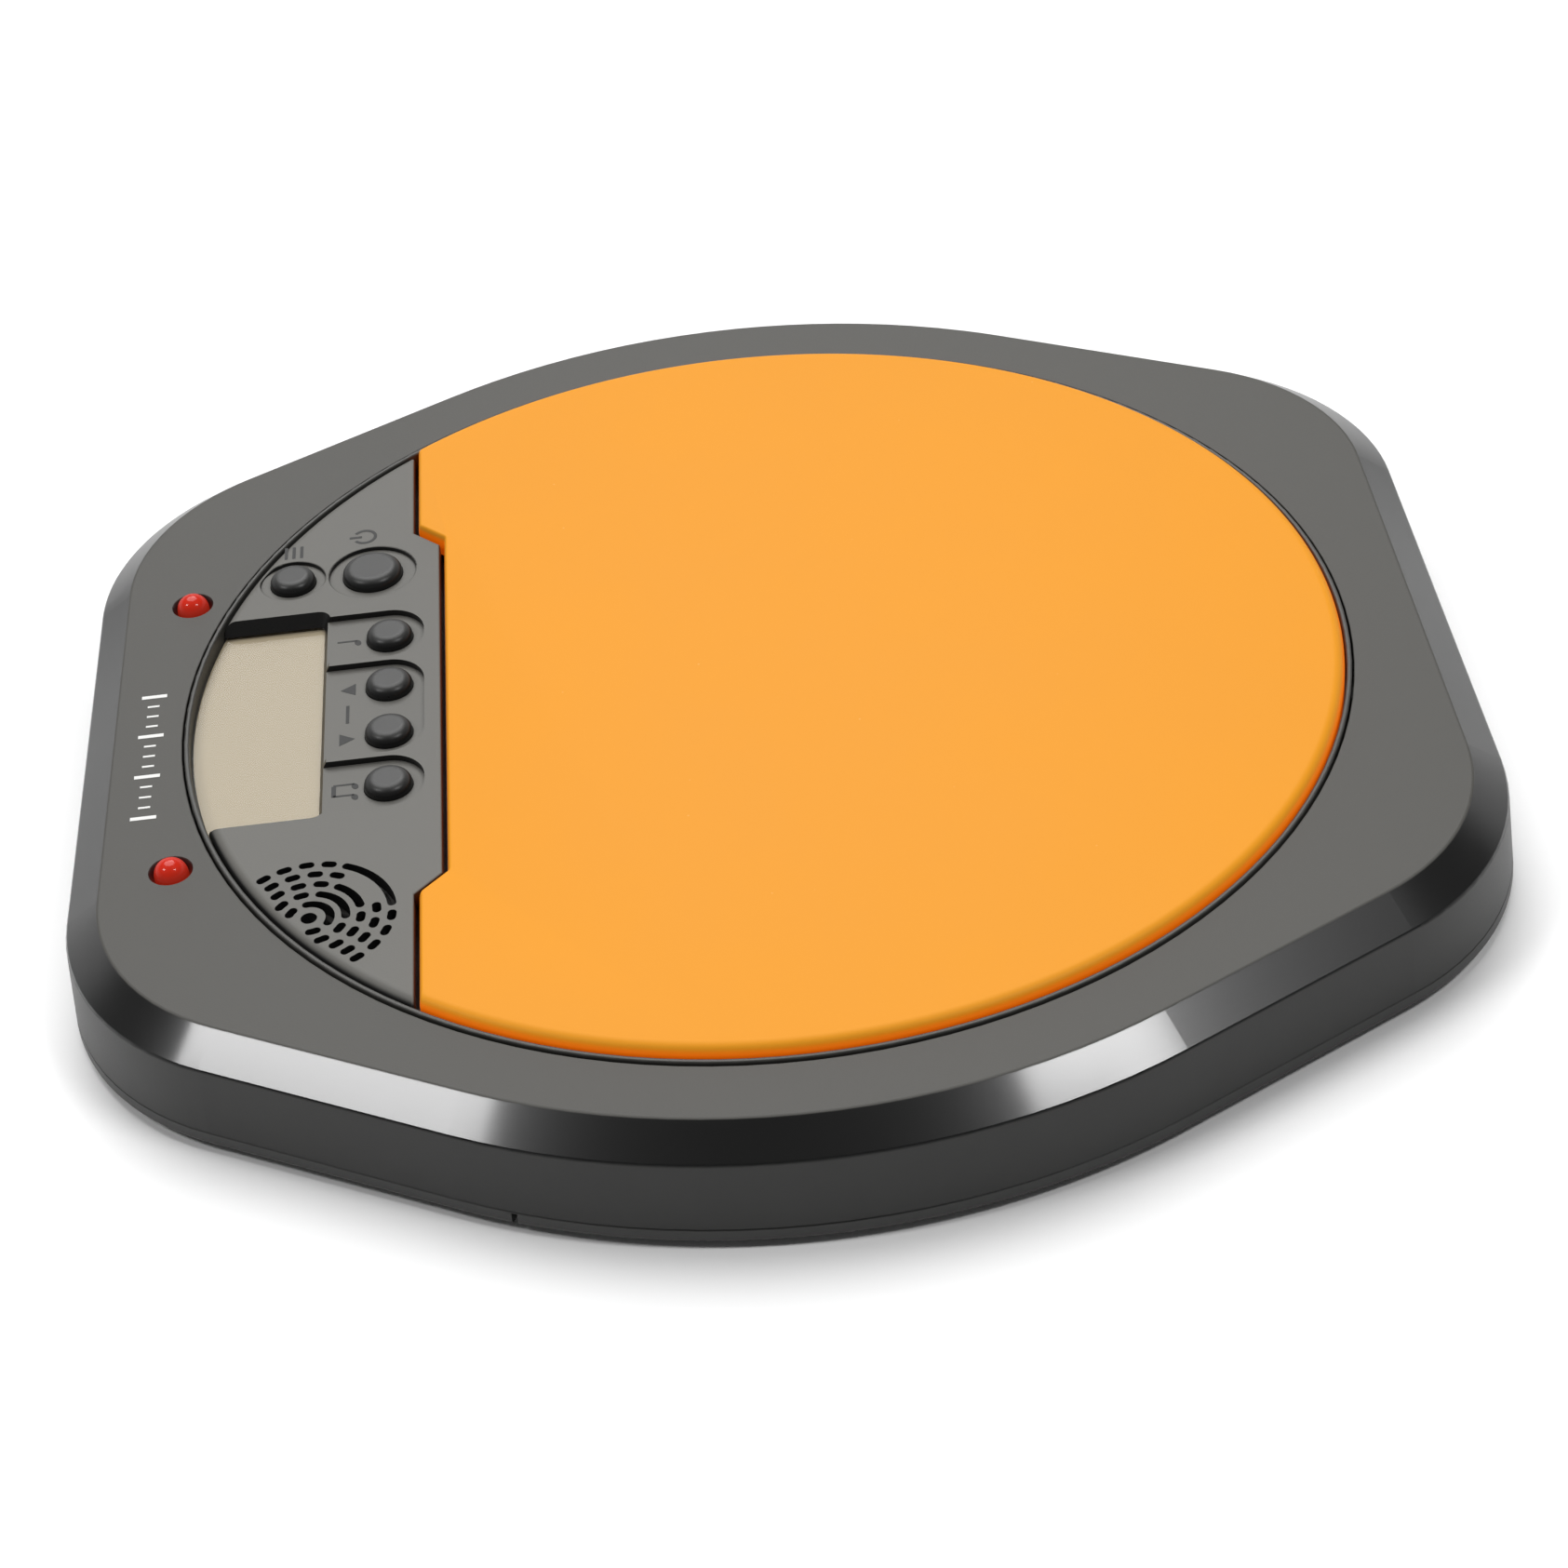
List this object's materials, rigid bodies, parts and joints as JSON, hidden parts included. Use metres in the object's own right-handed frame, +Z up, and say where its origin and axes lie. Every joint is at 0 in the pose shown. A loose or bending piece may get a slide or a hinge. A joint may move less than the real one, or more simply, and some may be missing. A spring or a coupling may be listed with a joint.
{
  "type": "electronic drum practice pad",
  "caption": "Electronic drum practice pad: round soft playing surface and a segment-shaped control panel set in a bevelled squarish casing on rubber feet.",
  "frame": {"origin": "centre of the casing's plan, on the surface that the feet stand on", "axes": "+Z up out of the playing pad, +Y towards the control panel and the rear sockets, +X to the player's right"},
  "size_m": [0.303, 0.304, 0.0288],
  "materials": {
    "shell": "satin grained dark grey ABS",
    "lower_shell": "grained dark grey ABS",
    "tray": "satin dark grey ABS",
    "panel": "satin mid grey ABS",
    "silicone": "soft orange silicone",
    "foam": "black EVA foam",
    "steel": "zinc plated sheet",
    "brass": "bright brass",
    "window": "tinted clear acrylic",
    "display": "reflective LCD cell",
    "board": "green solder mask",
    "switch": "black tact switch",
    "key": "dark grey keytop",
    "led": "red diffused epoxy",
    "foot": "black rubber",
    "cell": "plain wrapped cell",
    "contact": "nickel plated spring steel",
    "screw": "black zinc",
    "socket": "black nylon",
    "cone": "black coated paper",
    "magnet": "ferrite",
    "lead": "PVC insulated pair"
  },
  "bodies": {
    "casing": {"upper_case": "shell", "lower_case": "lower_shell", "pad_tray": "tray", "sensor_plate": "steel", "damping_sheet": "foam", "playing_pad": "silicone", "piezo_sensor": "brass", "control_panel": "panel", "display_window": "window", "display_film": "display", "display_module": "display", "main_board": "board", "tact_switches": "switch", "speaker_frame": "steel", "speaker_cone": "cone", "speaker_magnet": "magnet", "led_left": "led", "led_right": "led", "led_board_left": "board", "led_board_right": "board", "foot_rear_right": "foot", "foot_rear_left": "foot", "foot_front_left": "foot", "foot_front_right": "foot", "cell_1": "cell", "cell_2": "cell", "cell_3": "cell", "contact_plates": "contact", "contact_springs": "contact", "case_screws": "screw", "tray_screws": "screw", "panel_screws": "screw", "board_screws": "screw", "jack_board": "board", "jack_board_screws": "screw", "phones_jack": "socket", "power_jack": "socket", "stand_insert": "brass", "sensor_lead": "lead", "battery_lead": "lead", "speaker_lead": "lead", "jack_lead": "lead", "led_lead_left": "lead", "led_lead_right": "lead"},
    "door": {"battery_door": "lower_shell"},
    "power_key": {"power_button": "key"},
    "mode_key": {"mode_button": "key"},
    "beat_key": {"beat_button": "key"},
    "tempo_up_key": {"tempo_up_button": "key"},
    "tempo_down_key": {"tempo_down_button": "key"},
    "rhythm_key": {"rhythm_button": "key"}
  },
  "joints": [
    {"name": "power_press", "type": "slide", "parent": "casing", "child": "power_key", "axis": [0, 0, -1], "range_m": [0, 0.0006], "stiffness_N_per_m": 1500},
    {"name": "mode_press", "type": "slide", "parent": "casing", "child": "mode_key", "axis": [0, 0, -1], "range_m": [0, 0.0006], "stiffness_N_per_m": 1500},
    {"name": "beat_press", "type": "slide", "parent": "casing", "child": "beat_key", "axis": [0, 0, -1], "range_m": [0, 0.0006], "stiffness_N_per_m": 1500},
    {"name": "tempo_up_press", "type": "slide", "parent": "casing", "child": "tempo_up_key", "axis": [0, 0, -1], "range_m": [0, 0.0006], "stiffness_N_per_m": 1500},
    {"name": "tempo_down_press", "type": "slide", "parent": "casing", "child": "tempo_down_key", "axis": [0, 0, -1], "range_m": [0, 0.0006], "stiffness_N_per_m": 1500},
    {"name": "rhythm_press", "type": "slide", "parent": "casing", "child": "rhythm_key", "axis": [0, 0, -1], "range_m": [0, 0.0006], "stiffness_N_per_m": 1500},
    {"name": "door_tilt", "type": "hinge", "parent": "casing", "child": "door", "pos_m": [0, -0.089, 0.002], "axis": [-1, 0, 0], "range_deg": [0, 60]}
  ]
}
